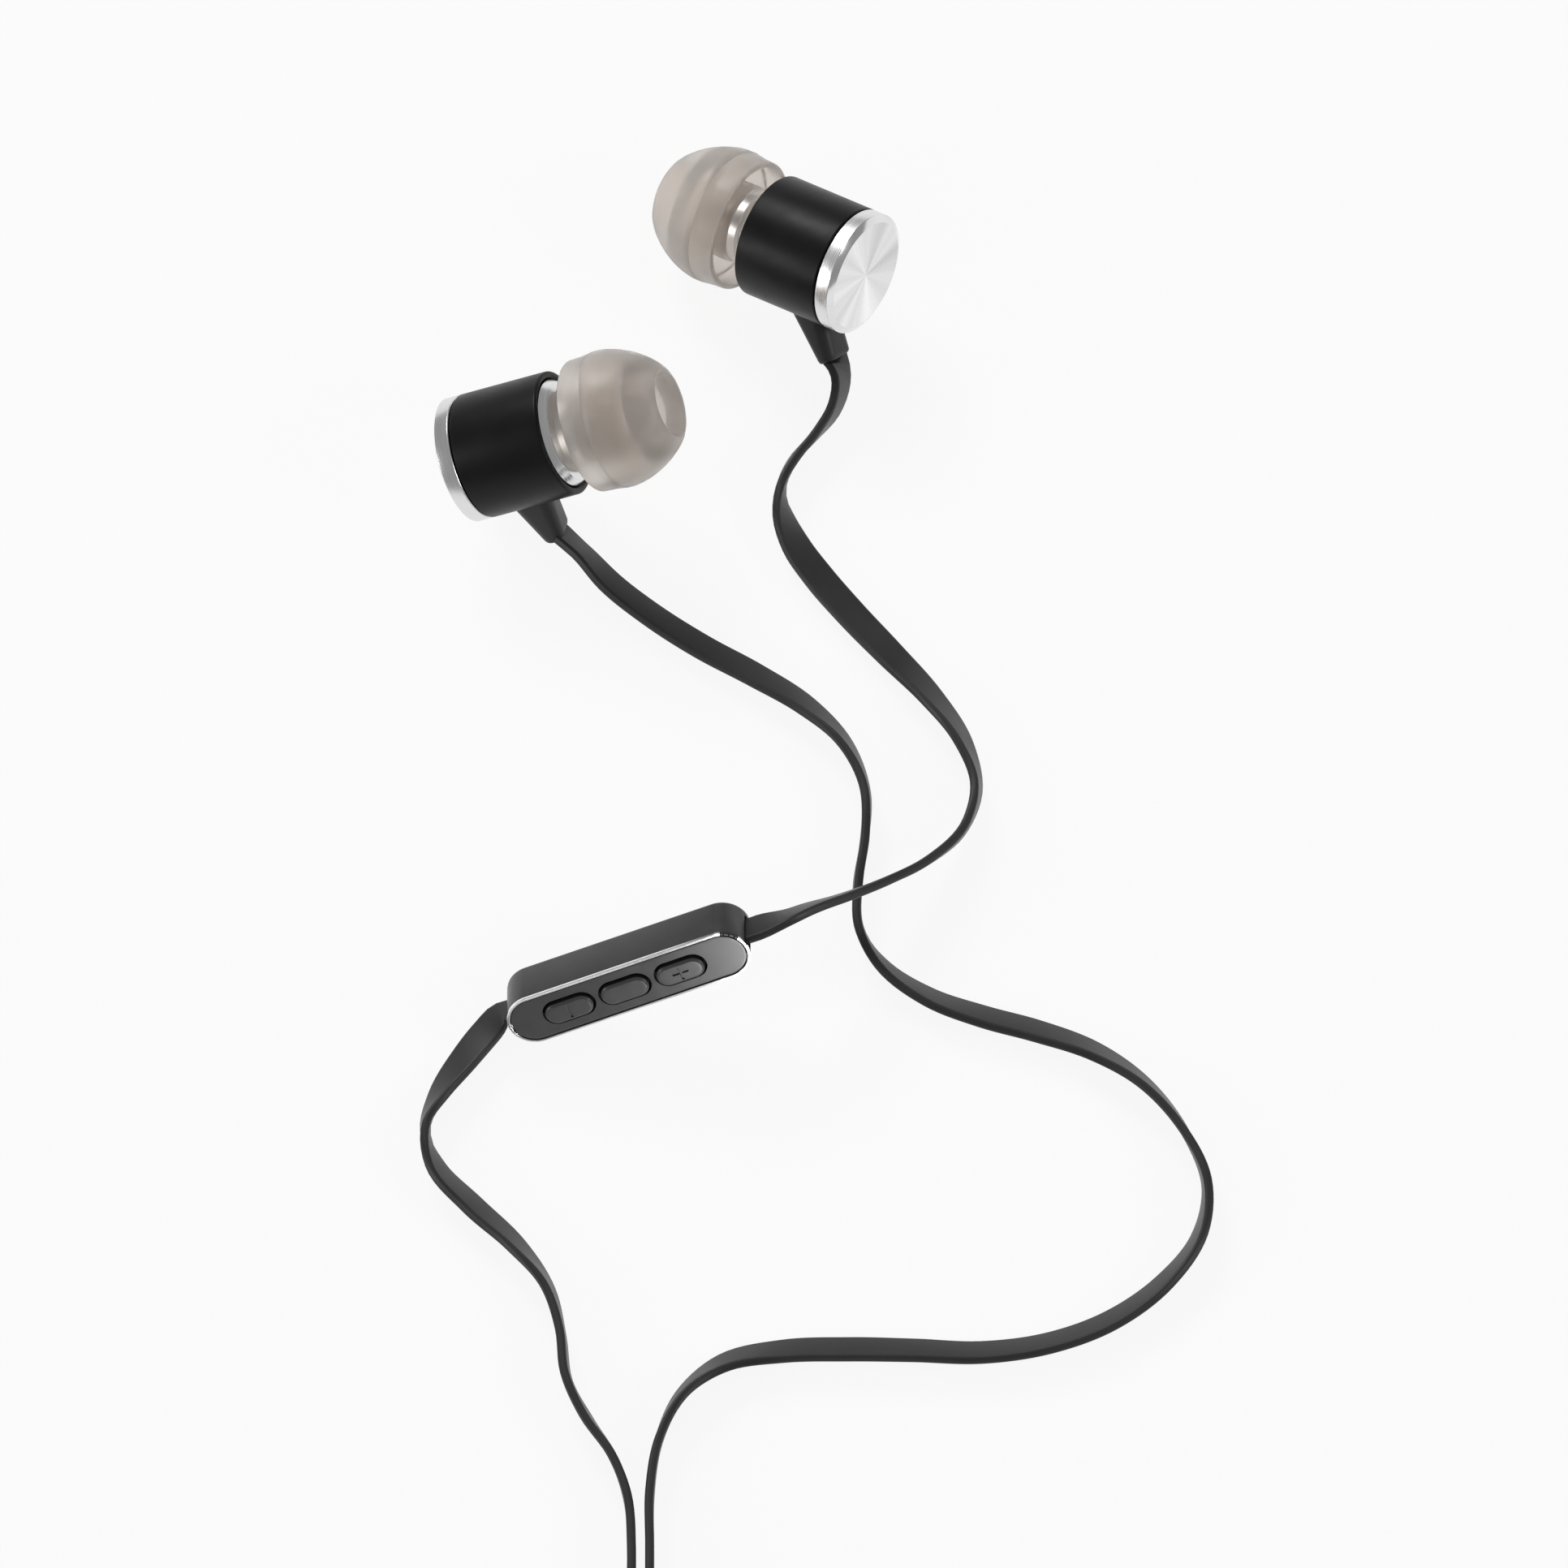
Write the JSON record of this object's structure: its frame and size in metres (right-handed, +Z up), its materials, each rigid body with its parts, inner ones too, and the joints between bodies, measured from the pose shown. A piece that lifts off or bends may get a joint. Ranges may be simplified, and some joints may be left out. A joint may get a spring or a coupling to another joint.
{
  "type": "wired earphones",
  "caption": "Wired in-ear earphones with metal housings, pull-off silicone tips, an in-line button remote, flat ribbon cords, a splitter and a four-pole jack plug.",
  "frame": {"origin": "on the surface, under the middle of the box round the two earpieces and the remote", "axes": "+Z up from the surface; the cords run along -Y from the earpieces to the plug; +X to the right of the person who looks along +Y"},
  "size_m": [0.1069, 0.1858, 0.0195],
  "materials": {
    "black_metal": "satin black anodised",
    "bright_metal": "turned and polished",
    "steel": "plain",
    "film": "thin film",
    "silicone": "translucent satin",
    "rubber": "matte",
    "plastic": "fine satin",
    "chrome": "polished",
    "board": "satin",
    "brass": "gold plated",
    "black_plastic": "satin"
  },
  "bodies": {
    "set": {"right_rear_cap": "bright_metal", "right_housing_sleeve": "black_metal", "right_front_nozzle": "bright_metal", "right_nozzle_mesh": "steel", "right_driver_frame": "steel", "right_driver_magnet": "steel", "right_driver_diaphragm": "film", "right_strain_relief": "rubber", "left_rear_cap": "bright_metal", "left_housing_sleeve": "black_metal", "left_front_nozzle": "bright_metal", "left_nozzle_mesh": "steel", "left_driver_frame": "steel", "left_driver_magnet": "steel", "left_driver_diaphragm": "film", "left_strain_relief": "rubber", "remote_shell": "plastic", "remote_face": "plastic", "remote_trim_ring": "chrome", "remote_board": "board", "dome_switches": "brass", "microphone": "steel", "microphone_grille": "black_plastic", "right_cord_upper": "rubber", "right_cord_lower": "rubber", "left_cord": "rubber", "splitter_top_shell": "black_plastic", "splitter_bottom_shell": "black_plastic", "splitter_joint": "rubber", "main_cord_lead": "rubber", "main_cord_coil": "rubber", "main_cord_tail": "rubber", "cord_tie": "black_plastic", "plug_boot": "rubber", "plug_grip": "black_metal", "plug_sleeve_contact": "brass", "plug_ring_contacts": "brass", "plug_tip_contact": "brass", "plug_insulator": "black_plastic"},
    "right_tip": {"right_ear_tip": "silicone"},
    "left_tip": {"left_ear_tip": "silicone"},
    "volume_down": {"volume_down_button": "plastic"},
    "centre": {"centre_button": "plastic"},
    "volume_up": {"volume_up_button": "plastic"}
  },
  "joints": [
    {"name": "volume_down_press", "type": "slide", "parent": "set", "child": "volume_down", "axis": [0.001, 0.8672, -0.498], "range_m": [0, 0.0003], "stiffness_N_per_m": 1500, "springref_m": -0.0002},
    {"name": "centre_press", "type": "slide", "parent": "set", "child": "centre", "axis": [0.001, 0.8672, -0.498], "range_m": [0, 0.0003], "stiffness_N_per_m": 1500, "springref_m": -0.0002},
    {"name": "volume_up_press", "type": "slide", "parent": "set", "child": "volume_up", "axis": [0.001, 0.8672, -0.498], "range_m": [0, 0.0003], "stiffness_N_per_m": 1500, "springref_m": -0.0002},
    {"name": "right_tip_pull_off", "type": "slide", "parent": "set", "child": "right_tip", "axis": [-0.8184, 0.5015, -0.2807], "range_m": [0, 0.006]},
    {"name": "left_tip_pull_off", "type": "slide", "parent": "set", "child": "left_tip", "axis": [0.8958, 0.0736, 0.4384], "range_m": [0, 0.006]}
  ]
}
